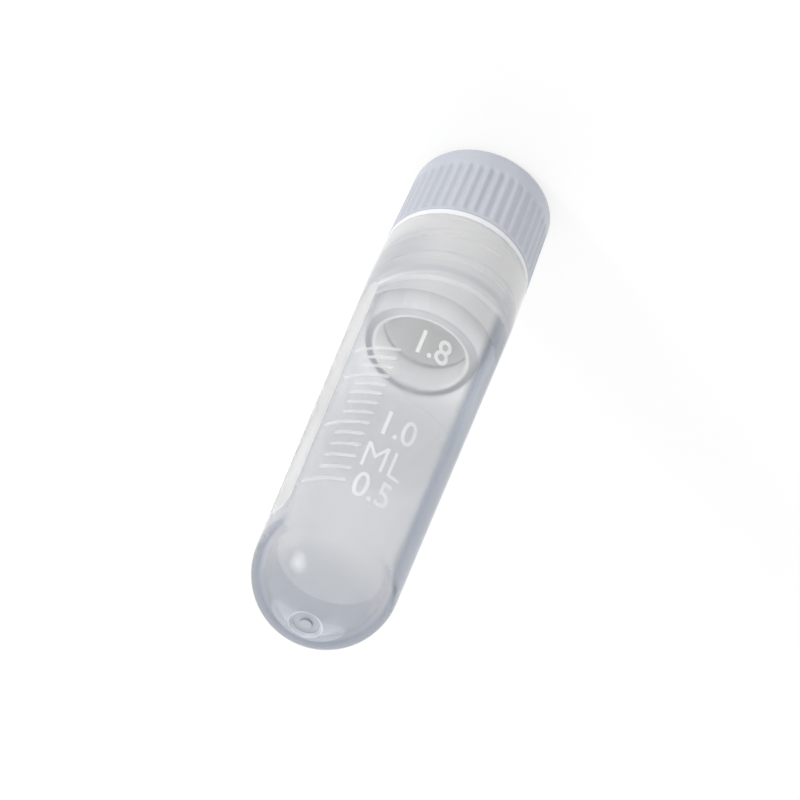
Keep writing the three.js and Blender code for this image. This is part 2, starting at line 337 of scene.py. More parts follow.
cap_profile = soften([
    (0, 0, 0, WIDE, "head"),
    *arc(head_top_radius - head_round, head_round, head_round, -90, 0, 10, MIDDLE, "head"),
    (grip_radius, flute_start - 0.05, 0, FINE, "grip"),
    (grip_radius + 0.01, flute_start + 0.6, 0, MIDDLE, "grip"),
    (head_rim_radius - 0.02, flute_end - 0.6, 0, FINE, "grip"),
    (head_rim_radius, head_height, 0.1, MIDDLE, "head"),
    (core_radius, head_height, 0.1, MIDDLE, "plug"),
    (core_radius, plug_thread_start - 0.8, 0, FINE, "thread"),
    (core_radius, spigot_start, 0, FINE, "plug"),
    (spigot_radius, spigot_start + 0.1, 0, MIDDLE, "plug"),
    (spigot_radius, bead_middle - bead_half, 0.3, 0.1, "plug"),
    (spigot_radius + bead_height, bead_middle, 0.5, 0.1, "plug"),
    (spigot_radius, bead_middle + bead_half, 0.3, MIDDLE, "plug"),
    (spigot_radius, plug_end, 0.15, 0.15, "edge"),
    (spigot_radius - 0.65, plug_end, 0, 0.15, "lip"),
    (hollow_radius + 0.15, plug_end, 0.08, 0.15, "lip"),
    (hollow_radius, plug_end - 0.15, 0.08, MIDDLE, "hollow"),
    (hollow_radius, bead_middle + 0.1, 0, 0.1, "edge"),
    (hollow_radius, bead_middle - 0.2, 0, MIDDLE, "hollow"),
    (hollow_radius, hollow_step, 0.35, MIDDLE, "hollow"),
    (hollow_deep_radius, hollow_step, 0.2, MIDDLE, "hollow"),
    (hollow_deep_radius, head_wall, 0.35, MIDDLE, "hollow"),
    (0, head_wall, 0, MIDDLE, "hollow"),
])
plug_ridge = thread_ridge(plug_thread_start, plug_thread_rise, plug_start_angle,
                          lambda z: core_radius, plug_crest_radius)
CAP_STEPS = rib_count * 7
cap = turned("cap_body", cap_profile, CAP_STEPS,
             shifts={"grip": grip_flutes, "thread": plug_ridge},
             slots={"plug": 1, "thread": 1, "hollow": 2, "lip": 3, "edge": 4})

# %% [markdown]
# ## The washer
# A thin ring of white silicone lies between the cap and the tube's rim. Its edges are
# softly rounded by the squeeze between the two.

# %% Washer mesh
washer_bore = core_radius + 0.13
WASHER_STEPS = 192
washer_profile = soften([
    (washer_bore, washer_base, 0.12, MIDDLE, "ring"),
    (rim_radius, washer_base, 0.14, MIDDLE, "ring"),
    (rim_radius, washer_top, 0.14, MIDDLE, "ring"),
    (washer_bore, washer_top, 0.12, MIDDLE, "ring"),
])
washer = turned("washer_ring", washer_profile, WASHER_STEPS)

# %% [markdown]
# ## Printed scale and figures
# The scale and its figures are screen-printed in white on the tube. Ink has a thickness,
# here a few hundredths of a millimetre, and it lies in the plastic's surface with no air
# between. Each mark starts as a flat plate, is cut into narrow strips so that it can bend,
# and is then wrapped round the tube. The text reads upright when the cap is up, so its top
# points down here, towards the cap.

# %% Wrapping helper
INK_SINK, INK_PROUD = 0.012, 0.02
STRIP = 0.2


def wrap_on_tube(mesh_data, middle_degrees, middle_z):
    """Bends a flat plate of ink round the tube. Its x is along the curve and its y points
    to the cap, both in millimetres. Angles count from the front of the tube (-Y)."""
    work = bmesh.new()
    work.from_mesh(mesh_data)
    bmesh.ops.remove_doubles(work, verts=work.verts[:], dist=1e-5)
    low = min(v.co.x for v in work.verts)
    high = max(v.co.x for v in work.verts)
    for x in np.arange(low + STRIP, high, STRIP):
        everything = work.verts[:] + work.edges[:] + work.faces[:]
        bmesh.ops.bisect_plane(work, geom=everything, plane_co=(x, 0, 0),
                               plane_no=(1, 0, 0), dist=1e-6)
    for v in work.verts:
        z = middle_z - v.co.y
        radius = float(outside_radius_at(z))
        turn = math.radians(middle_degrees) + v.co.x / radius
        radius += INK_PROUD if v.co.z > 0 else -INK_SINK
        v.co = Vector((-radius * math.sin(turn), -radius * math.cos(turn), z)) * MM
    bmesh.ops.recalc_face_normals(work, faces=work.faces[:])
    work.to_mesh(mesh_data)
    work.free()
    return mesh_data


def joined(name, meshes):
    """One object from several meshes."""
    work = bmesh.new()
    for mesh_data in meshes:
        work.from_mesh(mesh_data)
    for face in work.faces:
        face.smooth = False
    whole = bpy.data.meshes.new(name)
    work.to_mesh(whole)
    work.free()
    piece = bpy.data.objects.new(name, whole)
    bpy.context.scene.collection.objects.link(piece)
    print(name, "has", len(whole.polygons), "faces")
    return piece


# %% [markdown]
# The marks are short strokes with round ends. A longer stroke stands at every half millilitre
# and at the top of the scale. They grow closer together towards the cap. The bore gets wider
# there, so a tenth of a millilitre takes less height, and the rest of the narrowing is given
# in the list of heights. The marks are up to 8 per cent off the true volumes, so they are for
# looks and not for measuring.

# %% Scale marks
stroke_half_width = 0.18


def stroke_plate(length):
    """A flat stroke with round ends."""
    reach = length / 2 - stroke_half_width
    outline = [
        (side * reach + stroke_half_width * math.cos(a), stroke_half_width * math.sin(a))
        for side, first in ((1, -90), (-1, 90))
        for a in np.radians(np.linspace(first, first + 180, 7))
    ]
    work = bmesh.new()
    rings = [[work.verts.new((x, y, z)) for x, y in outline] for z in (-1, 1)]
    work.faces.new(rings[0][::-1])
    work.faces.new(rings[1])
    for i in range(len(outline)):
        k = (i + 1) % len(outline)
        work.faces.new((rings[0][i], rings[0][k], rings[1][k], rings[1][i]))
    plate = bpy.data.meshes.new("stroke")
    work.to_mesh(plate)
    work.free()
    return plate


marks_right, marks_left, long_marks_left = -13.9, -38.7, -51.4
half_millilitre_heights = [41.6, 35.04, 29.5]
mark_heights = [41.6, 40.2, 38.87, 37.56, 36.29, 35.04, 33.85, 32.7, 31.6, 30.54, 29.5,
                28.45, 27.4, 26.35]
strokes = []
for number, height in enumerate(mark_heights):
    is_long = height in half_millilitre_heights or number == len(mark_heights) - 1
    left = long_marks_left if is_long else marks_left
    length = math.radians(marks_right - left) * float(outside_radius_at(height))
    strokes.append(wrap_on_tube(stroke_plate(length), (left + marks_right) / 2, height))
scale_marks = joined("scale_marks", strokes)

# %% [markdown]
# The figures come from Blender's own typeface, narrowed to the proportions of a printed
# laboratory scale. They are plain numbers and a unit.

# %% Scale figures
FIGURE_HEIGHT = 2.7
FIGURE_NARROWING = 0.72


def figure_plate(text, boldness):
    """The text as a flat plate of ink, centred, in millimetres."""
    curve = bpy.data.curves.new("figure", "FONT")
    curve.body = text
    curve.extrude = 0.5
    curve.offset = boldness
    curve.resolution_u = 5
    source = bpy.data.objects.new("figure", curve)
    bpy.context.scene.collection.objects.link(source)
    plate = bpy.data.meshes.new_from_object(source.evaluated_get(
        bpy.context.evaluated_depsgraph_get()))
    bpy.data.objects.remove(source)
    xs = [v.co.x for v in plate.vertices]
    ys = [v.co.y for v in plate.vertices]
    middle_x, middle_y = (max(xs) + min(xs)) / 2, (max(ys) + min(ys)) / 2
    tall = FIGURE_HEIGHT / (max(ys) - min(ys))
    for v in plate.vertices:
        v.co.x = (v.co.x - middle_x) * tall * FIGURE_NARROWING
        v.co.y = (v.co.y - middle_y) * tall
    print(text, "is", round((max(xs) - min(xs)) * tall * FIGURE_NARROWING, 2), "mm wide")
    return plate


figures = [("1.8", 9.2, 24.7, 0.008), ("1.0", 9.2, 34.4, 0.008), ("ML", 7.0, 38.2, -0.005),
           ("0.5", 6.6, 41.5, 0.008)]
scale_figures = joined("scale_figures", [
    wrap_on_tube(figure_plate(text, boldness), degrees, height)
    for text, degrees, height, boldness in figures
])

# %% [markdown]
# ## Materials
# Natural polypropylene is milky: light goes through it, but each pass spreads and dims it a
# little. The milkiness sits in the skin of the outside here, and the bore is left nearly
# clear, so a look through the tube crosses two milky skins and no more. Small helpers keep
# the node code short.

# %% Node helpers


def new_material(name, colour, **sockets):
    """A material with a Principled BSDF, its plain sockets set."""
    material = bpy.data.materials.new(name)
    material.use_nodes = True
    material.diffuse_color = (*colour, 1)
    shader = material.node_tree.nodes["Principled BSDF"]
    shader.inputs["Base Color"].default_value = (*colour, 1)
    for socket, value in sockets.items():
        shader.inputs[socket.replace("_", " ")].default_value = value
    return material, material.node_tree, shader


def add(tree, kind, **settings):
    """A node with its settings; a setting that names an input sets that input."""
    node = tree.nodes.new(kind)
    for key, value in settings.items():
        if hasattr(node, key):
            setattr(node, key, value)
        else:
            node.inputs[key.replace("_", " ")].default_value = value
    return node


def math_node(tree, operation, first, second=None, clamp=False):
    """A Math node; its inputs are sockets or numbers."""
    node = tree.nodes.new("ShaderNodeMath")
    node.operation, node.use_clamp = operation, clamp
    for socket, value in zip(node.inputs, (first, second)):
        if isinstance(value, bpy.types.NodeSocket):
            tree.links.new(value, socket)
        elif value is not None:
            socket.default_value = value
    return node.outputs[0]


def soft_step(tree, value, first, last, start=0.0, end=1.0):
    """A mask that runs smoothly from start to end while the value goes from first to last."""
    step = add(tree, "ShaderNodeMapRange", interpolation_type="SMOOTHSTEP",
               From_Min=first, From_Max=last, To_Min=start, To_Max=end)
    tree.links.new(value, step.inputs["Value"])
    return step.outputs[0]


def new_group(name, inputs, outputs):
    """A shader node group with named sockets: {name: (kind, default)} in, {name: kind} out."""
    group = bpy.data.node_groups.new(name, "ShaderNodeTree")
    for label, (kind, default) in inputs.items():
        socket = group.interface.new_socket(label, in_out="INPUT", socket_type=kind)
        socket.default_value = default
    for label, kind in outputs.items():
        group.interface.new_socket(label, in_out="OUTPUT", socket_type=kind)
    return group, add(group, "NodeGroupInput"), add(group, "NodeGroupOutput")


def use_group(tree, group, **values):
    """One use of a group, with values of its own."""
    node = tree.nodes.new("ShaderNodeGroup")
    node.node_tree = group
    for key, value in values.items():
        node.inputs[key.replace("_", " ")].default_value = value
    return node


def dress(tree, look, shader, bump_strength, bump_depth):
    """Feeds a look's colour and roughness to the shader, and its height through a bump."""
    tree.links.new(look.outputs["Colour"], shader.inputs["Base Color"])
    tree.links.new(look.outputs["Roughness"], shader.inputs["Roughness"])
    bump = add(tree, "ShaderNodeBump", Strength=bump_strength, Distance=bump_depth * MM)
    tree.links.new(look.outputs["Height"], bump.inputs["Height"])
    tree.links.new(bump.outputs[0], shader.inputs["Normal"])


FLOAT, COLOUR = "NodeSocketFloat", "NodeSocketColor"

# %% [markdown]
# The first group is the haze of a moulded part. Plastic that flows into a mould leaves
# faint streaks along the way it went, and the crystals in it make soft clouds. The group
# gives a colour between two tints, a roughness that varies with it, and a height for the
# faint waviness of the surface.

# %% Moulded haze group
haze, haze_in, haze_out = new_group(
    "moulded haze",
    {"Thin": (COLOUR, (0.6, 0.65, 0.7, 1)), "Dense": (COLOUR, (0.5, 0.55, 0.6, 1)),
     "Cloud Scale": (FLOAT, 250.0), "Smooth": (FLOAT, 0.15), "Dull": (FLOAT, 0.3)},
    {"Colour": COLOUR, "Roughness": FLOAT, "Height": FLOAT})
where = add(haze, "ShaderNodeTexCoord")
stretch = add(haze, "ShaderNodeMapping")
stretch.inputs["Scale"].default_value = (1, 1, 0.22)
haze.links.new(where.outputs["Object"], stretch.inputs["Vector"])
clouds = add(haze, "ShaderNodeTexNoise", Detail=4.0, Roughness=0.55)
haze.links.new(stretch.outputs[0], clouds.inputs["Vector"])
haze.links.new(haze_in.outputs["Cloud Scale"], clouds.inputs["Scale"])
grain = add(haze, "ShaderNodeTexNoise", Scale=5200.0, Detail=2.0)
haze.links.new(where.outputs["Object"], grain.inputs["Vector"])
share = add(haze, "ShaderNodeMapRange", From_Min=0.35, From_Max=0.65)
haze.links.new(clouds.outputs["Fac"], share.inputs["Value"])
tint = add(haze, "ShaderNodeMix", data_type="RGBA")
haze.links.new(share.outputs[0], tint.inputs["Factor"])
haze.links.new(haze_in.outputs["Thin"], tint.inputs["A"])
haze.links.new(haze_in.outputs["Dense"], tint.inputs["B"])
haze.links.new(tint.outputs["Result"], haze_out.inputs["Colour"])
dull = add(haze, "ShaderNodeMix", data_type="FLOAT")
haze.links.new(share.outputs[0], dull.inputs["Factor"])
haze.links.new(haze_in.outputs["Smooth"], dull.inputs["A"])
haze.links.new(haze_in.outputs["Dull"], dull.inputs["B"])
haze.links.new(dull.outputs["Result"], haze_out.inputs["Roughness"])
height = math_node(haze, "ADD", math_node(haze, "MULTIPLY", clouds.outputs["Fac"], 0.8),
                   math_node(haze, "MULTIPLY", grain.outputs["Fac"], 0.2))
haze.links.new(height, haze_out.inputs["Height"])
print("group:", haze.name)

# %% [markdown]
# The second group draws one printed field: a rounded rectangle that lies round the axis.
# It turns the point's place into a distance along the curve and a height, measures how far
# that lies from a rounded rectangle, and gives 1 inside the ink and 0 outside. The middle
# of the field sets where angles start, so the seam of the arctangent falls far from it.

# %% Printed field group
field, field_in, field_out = new_group(
    "printed field",
    {"Turn": (FLOAT, 0.0), "Half Length": (FLOAT, 10.0), "Lowest": (FLOAT, 0.0),
     "Highest": (FLOAT, 10.0), "Corner": (FLOAT, 1.0), "Soft Edge": (FLOAT, 0.05)},
    {"Ink": FLOAT})
place = add(field, "ShaderNodeTexCoord")
turned_place = add(field, "ShaderNodeVectorRotate", rotation_type="Z_AXIS")
field.links.new(place.outputs["Object"], turned_place.inputs["Vector"])
field.links.new(field_in.outputs["Turn"], turned_place.inputs["Angle"])
split = add(field, "ShaderNodeSeparateXYZ")
field.links.new(turned_place.outputs[0], split.inputs[0])
angle = math_node(field, "ARCTAN2", split.outputs["Y"], split.outputs["X"])
along = math_node(field, "MULTIPLY", angle, body_radius)
up = math_node(field, "DIVIDE", split.outputs["Z"], MM)
low_high = math_node(field, "ADD", field_in.outputs["Lowest"], field_in.outputs["Highest"])
from_middle = math_node(field, "SUBTRACT", up, math_node(field, "MULTIPLY", low_high, 0.5))
half_height = math_node(field, "MULTIPLY", math_node(
    field, "SUBTRACT", field_in.outputs["Highest"], field_in.outputs["Lowest"]), 0.5)
over_x = math_node(field, "ADD", math_node(
    field, "SUBTRACT", math_node(field, "ABSOLUTE", along), field_in.outputs["Half Length"]),
    field_in.outputs["Corner"])
over_y = math_node(field, "ADD", math_node(
    field, "SUBTRACT", math_node(field, "ABSOLUTE", from_middle), half_height),
    field_in.outputs["Corner"])
outer_x = math_node(field, "MAXIMUM", over_x, 0)
outer_y = math_node(field, "MAXIMUM", over_y, 0)
far = math_node(field, "SQRT", math_node(
    field, "ADD", math_node(field, "MULTIPLY", outer_x, outer_x),
    math_node(field, "MULTIPLY", outer_y, outer_y)))
near = math_node(field, "MINIMUM", math_node(field, "MAXIMUM", over_x, over_y), 0)
distance = math_node(field, "SUBTRACT", math_node(field, "ADD", far, near),
                     field_in.outputs["Corner"])
inked = math_node(field, "SUBTRACT", 0.5, math_node(
    field, "DIVIDE", distance, field_in.outputs["Soft Edge"]), clamp=True)
field.links.new(inked, field_out.inputs["Ink"])
print("group:", field.name)

# %% [markdown]
# The third group finds the last turn of the thread. The wall is thicker over the ridge, and
# the end of the thread shows through it. On the outside that is painted as a pale line, a
# painted highlight, with a grey one beside it, which is painted shade. The group measures the
# height over a helix that climbs with the thread, two starts in one turn, and gives a mask for
# either line.

# %% Last turn group
last_turn, turn_in, turn_out = new_group(
    "last turn",
    {"End Turn": (FLOAT, 0.0), "End Height": (FLOAT, 10.0), "Lead": (FLOAT, 5.0),
     "Width": (FLOAT, 0.5)},
    {"Crest": FLOAT, "Beside": FLOAT})
place = add(last_turn, "ShaderNodeTexCoord")
split = add(last_turn, "ShaderNodeSeparateXYZ")
last_turn.links.new(place.outputs["Object"], split.inputs[0])
angle = math_node(last_turn, "ARCTAN2", split.outputs["Y"], split.outputs["X"])
behind = math_node(last_turn, "FRACT", math_node(last_turn, "DIVIDE", math_node(
    last_turn, "SUBTRACT", turn_in.outputs["End Turn"], angle), math.pi))
drop = math_node(last_turn, "MULTIPLY", behind, math_node(
    last_turn, "MULTIPLY", turn_in.outputs["Lead"], 0.5))
middle = math_node(last_turn, "SUBTRACT", turn_in.outputs["End Height"], drop)
over = math_node(last_turn, "SUBTRACT", math_node(
    last_turn, "DIVIDE", split.outputs["Z"], MM), middle)
shown = math_node(last_turn, "MULTIPLY", soft_step(last_turn, behind, 0.02, 0.12),
                  soft_step(last_turn, behind, 0.60, 0.88, 1.0, 0.0))
crest_offset, beside_offset = 0.25, -0.55
for label, offset in (("Crest", crest_offset), ("Beside", beside_offset)):
    away = math_node(last_turn, "DIVIDE", math_node(last_turn, "ABSOLUTE", math_node(
        last_turn, "SUBTRACT", over, offset)), turn_in.outputs["Width"])
    painted_thread_line = soft_step(last_turn, away, 0.3, 1.0, 1.0, 0.0)
    last_turn.links.new(math_node(last_turn, "MULTIPLY", painted_thread_line, shown), turn_out.inputs[label])
print("group:", last_turn.name)

# %% [markdown]
# The tints are written once and used by name. Natural polypropylene is a cool grey where it
# is clear, and the whiter it is, the thicker or the duller the plastic. Three helpers
# follow. One mixes two colours by a mask, and the others make a mask that changes smoothly
# along an axis, so that a tint can run into the next with no hard line.

# %% Tints and colour helpers
PP_IOR = 1.49
thin_tint, dense_tint = (0.565, 0.58, 0.62), (0.535, 0.55, 0.59)
# painted shade: a darker tint for the thick bottom round the gate
gate_shade_tint = (0.40, 0.425, 0.475)
# painted shade: darker tints for slanting parts of the skin and for its very outline
edge_shade_tint, outline_shade_tint = (0.20, 0.25, 0.34), (0.05, 0.07, 0.12)
# the rim's white, also used as the painted highlight over the thread's last turn
white_neck, rim_white_and_thread_highlight = (0.98, 0.982, 0.987), (1.0, 1.0, 1.0)
# painted shade: the grey line beside the thread's last turn, and the greyer side of the tube
thread_shade_grey, side_shade_grey = (0.78, 0.79, 0.83), (0.70, 0.71, 0.75)
white_ink = (0.94, 0.94, 0.94)


def mix_colour(tree, factor, first, second):
    """A Mix node for colours; each input is a socket or a plain colour."""
    node = add(tree, "ShaderNodeMix", data_type="RGBA")
    tree.links.new(factor, node.inputs["Factor"])
    for label, value in (("A", first), ("B", second)):
        if isinstance(value, bpy.types.NodeSocket):
            tree.links.new(value, node.inputs[label])
        else:
            node.inputs[label].default_value = (*value, 1)
    return node.outputs["Result"]


def share_along(tree, axis, first, last, start, end):
    """A mask that changes smoothly from one value to another between two places in mm."""
    spot = add(tree, "ShaderNodeTexCoord")
    axes = add(tree, "ShaderNodeSeparateXYZ")
    tree.links.new(spot.outputs["Object"], axes.inputs[0])
    return soft_step(tree, axes.outputs[axis], first * MM, last * MM, start, end)


def height_share(tree, first, last, start, end):
    """The same, over the height."""
    return share_along(tree, "Z", first, last, start, end)


print("ink is", round(white_ink[0] / thin_tint[0], 2), "times as pale as the plastic")

# %% [markdown]
# The fourth group is the skin of the tube's outside, and the three groups above are placed in
# it. It starts with the haze. The neck is thick and stiff, so it is whiter, most of all at the
# rim, while the solid bottom round the gate gets a darker tint, which is painted shade. A
# slanting look crosses more of the skin than a straight one. So the group takes the slant as
# an input and darkens the colour by it, except over the dull neck, with a still darker tint
# for the very outline. This darkening is partly that longer path and partly painted shade: it
# is strongest on the -X side and on the round bottom. The greyer +X side of the neck and body
# is painted shade too. They are choices of look, so leave them out where an even tube is
# wanted.

# %% Outside skin group, the plastic
outside, outside_in, outside_out = new_group(
    "outside skin",
    {"Slant": (FLOAT, 0.0), "Ink At Joint": (COLOUR, (*white_ink, 1))},
    {"Colour": COLOUR, "Roughness": FLOAT, "Height": FLOAT})
look = use_group(outside, haze, Thin=(*thin_tint, 1), Dense=(*dense_tint, 1),
                 Cloud_Scale=260.0, Smooth=0.07, Dull=0.11)
neck_fades, rim_fades = (24, 33.5), (rim + 1.5, rim + 6)
side_shade_across, side_shade_begins, side_shade_fades = (1.5, 4.5), (rim + 1.0, rim + 3.5), (30, 40)
gate_shade_begins, round_shade_begins = (47.3, 50.3), (44, 47)
outline_shade_across, outline_shade_begins = (1, -3), (11.5, 18)
edge_slant, outline_slant = (0.48, 0.58), (0.70, 0.88)

skin = mix_colour(outside, height_share(outside, *neck_fades, 0.95, 0.0),
                  look.outputs["Colour"], white_neck)
skin = mix_colour(outside, height_share(outside, *rim_fades, 1.0, 0.0), skin, rim_white_and_thread_highlight)
# painted shade: the +X side of the tube is made greyer, from just below the rim to z 30 to 40
# mm
side_painted_shade = math_node(outside, "MULTIPLY", share_along(outside, "X", *side_shade_across, 0.0, 0.8),
                      height_share(outside, *side_shade_begins, 0.0, 1.0))
side_painted_shade = math_node(outside, "MULTIPLY", side_painted_shade,
                      height_share(outside, *side_shade_fades, 1.0, 0.0))
skin = mix_colour(outside, side_painted_shade, skin, side_shade_grey)
# painted shade on the skin round the gate
skin = mix_colour(outside, height_share(outside, *gate_shade_begins, 0.0, 1.0), skin, gate_shade_tint)

# painted shade: slanting parts of the skin darken most on the -X side and on the round bottom,
# darkest at the outline
outline_shade_side = math_node(outside, "MULTIPLY", share_along(outside, "X", *outline_shade_across, 0.25, 0.9),
                      height_share(outside, *outline_shade_begins, 0.0, 1.0))
edge_shade_share = math_node(outside, "MAXIMUM", outline_shade_side,
                       height_share(outside, *round_shade_begins, 0.0, 0.9))
slanting = soft_step(outside, outside_in.outputs["Slant"], *edge_slant)
edge_shade_share = math_node(outside, "MULTIPLY", slanting, edge_shade_share)
skin = mix_colour(outside, edge_shade_share, skin, edge_shade_tint)
grazing = soft_step(outside, outside_in.outputs["Slant"], *outline_slant)
outline_shade_share = math_node(outside, "MULTIPLY", grazing, edge_shade_share)
skin = mix_colour(outside, outline_shade_share, skin, outline_shade_tint)
print("group:", outside.name)

# %% [markdown]
# The painted highlight and shade of the thread's last turn come next, and the white writing
# field lies over everything.
# The field starts left of the scale, wraps round the back and ends on the right, so from
# the front it is the pale background that the scale is read against. Ink makes the colour
# whiter and the surface duller. The neck's skin and the body's meet under the field, and
# each takes an ink of its own there that fades to the common white, so that no line shows.

# %% Outside skin group, thread and ink
field_left, field_right = -57.0, 105.0 - 360.0
field_middle = (field_left + field_right) / 2
joint_reach, ink_roughness = 9.0, 0.9

painted_thread_line = use_group(outside, last_turn, End_Turn=thread_end_angle, End_Height=neck_thread_end,
                 Lead=thread_lead, Width=0.5)
# painted shade beside the thread's last turn, then a painted highlight over it
skin = mix_colour(outside, painted_thread_line.outputs["Beside"], skin, thread_shade_grey)
skin = mix_colour(outside, painted_thread_line.outputs["Crest"], skin, rim_white_and_thread_highlight)
printed = use_group(
    outside, field, Turn=math.radians(90 + field_middle),
    Half_Length=math.radians(field_left - field_right) / 2 * body_radius,
    Lowest=16.8, Highest=44.2, Corner=1.5, Soft_Edge=0.06)
near_joint = math_node(
    outside, "MULTIPLY", height_share(outside, neck_low - joint_reach, neck_low, 0.0, 1.0),
    height_share(outside, neck_low, neck_low + joint_reach, 1.0, 0.0))
ink = mix_colour(outside, near_joint, white_ink, outside_in.outputs["Ink At Joint"])
skin = mix_colour(outside, printed.outputs["Ink"], skin, ink)
outside.links.new(skin, outside_out.inputs["Colour"])
satin = add(outside, "ShaderNodeMix", data_type="FLOAT", B=ink_roughness)
outside.links.new(printed.outputs["Ink"], satin.inputs["Factor"])
outside.links.new(look.outputs["Roughness"], satin.inputs["A"])
outside.links.new(satin.outputs["Result"], outside_out.inputs["Roughness"])
outside.links.new(look.outputs["Height"], outside_out.inputs["Height"])
print("writing field from", field_left, "to", field_right, "degrees")

# %% [markdown]
# Both outside materials use that group. They differ in how much light goes through: the
# neck's skin is the denser one, so the plug behind it is half hidden, and the body's lets
# the inside be seen. A real tube is one plastic, so this split is a choice of look too. The
# slant comes from a Layer Weight, which stays in the material, next to the shader.

# %% Tube outside materials
wave_depth = 0.04


def outside_skin(name, through, ink_at_joint):
    """A material with the outside skin, given what share of the light goes through."""
    material, tree, shader = new_material(
        name, thin_tint, Transmission_Weight=through, IOR=PP_IOR, Specular_IOR_Level=0.1)
    look = use_group(tree, outside, Ink_At_Joint=(*ink_at_joint, 1))
    slant = add(tree, "ShaderNodeLayerWeight", Blend=0.5)
    tree.links.new(slant.outputs["Facing"], look.inputs["Slant"])
    dress(tree, look, shader, 0.08, wave_depth)
    return material


tube_neck = outside_skin("tube_neck", 0.76, (0.915, 0.915, 0.915))
tube_outside = outside_skin("tube_outside", 0.88, (0.965, 0.965, 0.965))
tube.data.materials.append(tube_neck)
print("made", tube_neck.name, "and", tube_outside.name)

# %% [markdown]
# The rest of the tube has six finishes, and all are the same milky plastic with other values.
# The bore is polished and nearly clear. The thread is left by a core that was unscrewed out of
# the mould, so it is dull and scatters more light, and the crests of its last turn are the
# thickest plastic and the whitest. The rim is pressed on the white washer with no air between,
# so it looks white too. The wall of the gate's dish is dull where the sprue was torn off, and
# the dish's floor with the stub in it gets the darkest tint.

# %% Finishes of milky plastic
whitest, whitest_dense = (0.99, 0.99, 0.99), (0.98, 0.98, 0.985)


def milky_finish(name, thin, dense, through, smooth, dull, **sockets):
    """Milky plastic: its tints, how much goes through, and its least and most roughness."""
    material, tree, shader = new_material(
        name, thin, Transmission_Weight=through, IOR=PP_IOR, **sockets)
    look = use_group(tree, haze, Thin=(*thin, 1), Dense=(*dense, 1), Cloud_Scale=280.0,
                     Smooth=smooth, Dull=dull)
    dress(tree, look, shader, 0.06, wave_depth)
    return material


for finish in (
    milky_finish("tube_bore", (0.99, 0.992, 0.995), (0.965, 0.97, 0.975), 1.0, 0.07, 0.11),
    milky_finish("tube_thread", (0.97, 0.97, 0.98), (0.95, 0.95, 0.96), 0.2, 0.4, 0.5),
    milky_finish("tube_rim", (0.95, 0.95, 0.96), (0.92, 0.925, 0.935), 0.0, 0.4, 0.5),
    milky_finish("tube_gate", (0.66, 0.685, 0.73), (0.60, 0.625, 0.68), 0.4, 0.35, 0.5),
    milky_finish("tube_stub", (0.38, 0.405, 0.45), (0.35, 0.375, 0.42), 0.4, 0.35, 0.5),
    tube_outside,
    milky_finish("tube_crest", whitest, whitest_dense, 0.0, 0.4, 0.5),
):
    tube.data.materials.append(finish)

# %% [markdown]
# The cap is the same plastic, and dense enough in the head to hide what is behind it. The plug
# and its hollow are thin walls of milky plastic. Light seeps into them and comes out again a
# few millimetres on, so they get subsurface scattering, which makes their shades soft, instead
# of transmission, which would show what lies behind them. A clear edge can look dark where
# light is led away inside the wall. Here that is painted shade: a dark tint on the plug's
# outer edge and on a band under the bead. The painted shade is darkest at the back, +Y, and
# clears towards the front.

# %% Cap materials


def seeping(reach):
    """Subsurface scattering that carries light a few millimetres."""
    return {"Subsurface_Weight": 1.0, "Subsurface_Radius": (1, 1, 1),
            "Subsurface_Scale": reach * MM}


for finish in (
    milky_finish("cap_head", (0.49, 0.51, 0.565), (0.46, 0.48, 0.535), 0.0, 0.3, 0.4),
    milky_finish("cap_plug", (0.80, 0.805, 0.825), (0.76, 0.77, 0.795), 0.0, 0.2, 0.3,
                 **seeping(3)),
    milky_finish("cap_hollow", whitest, whitest_dense, 0.0, 0.2, 0.3, **seeping(6)),
    milky_finish("cap_lip", whitest, whitest_dense, 0.0, 0.2, 0.3, **seeping(3)),
    # painted shade: the dark tint of the plug's outer edge and of the band under the bead
    milky_finish("cap_edge_painted_shade", (0.05, 0.065, 0.11), (0.04, 0.05, 0.09), 0.0, 0.3, 0.4),
):
    cap.data.materials.append(finish)

# painted shade on the plug's edge: dark at the back (+Y), lighter towards the front (-Y)
cap_edge_painted_shade = bpy.data.materials["cap_edge_painted_shade"]
tree, front_edge_lighter = cap_edge_painted_shade.node_tree, (0.60, 0.61, 0.64)
painted_shade_fades = -4.6, 1.0
edge_colour = tree.nodes["Principled BSDF"].inputs["Base Color"]
dark = edge_colour.links[0].from_socket
painted_shade_fading = share_along(tree, "Y", *painted_shade_fades, 0.9, 0.0)
tree.links.new(mix_colour(tree, painted_shade_fading, dark, front_edge_lighter), edge_colour)
print("the dark edge clears towards the front")

# %% [markdown]
# Silicone is soft and white, with a matt skin that holds a little dust. The ink has the
# same speckle at a finer scale, so both use one group: fine specks that darken the colour
# and roughen the surface.

# %% Fine specks group
specks, specks_in, specks_out = new_group(
    "fine specks",
    {"Colour": (COLOUR, (1, 1, 1, 1)), "Speck": (COLOUR, (0.8, 0.8, 0.8, 1)),
     "Speck Scale": (FLOAT, 3000.0), "Amount": (FLOAT, 0.5), "Roughness": (FLOAT, 0.5)},
    {"Colour": COLOUR, "Roughness": FLOAT, "Height": FLOAT})
spot = add(specks, "ShaderNodeTexCoord")
cells = add(specks, "ShaderNodeTexVoronoi")
specks.links.new(spot.outputs["Object"], cells.inputs["Vector"])
specks.links.new(specks_in.outputs["Speck Scale"], cells.inputs["Scale"])
softer = add(specks, "ShaderNodeMapRange", From_Min=0.05, From_Max=0.35,
             To_Min=1.0, To_Max=0.0)
specks.links.new(cells.outputs["Distance"], softer.inputs["Value"])
drift = add(specks, "ShaderNodeTexNoise", Scale=700.0, Detail=3.0)
specks.links.new(spot.outputs["Object"], drift.inputs["Vector"])
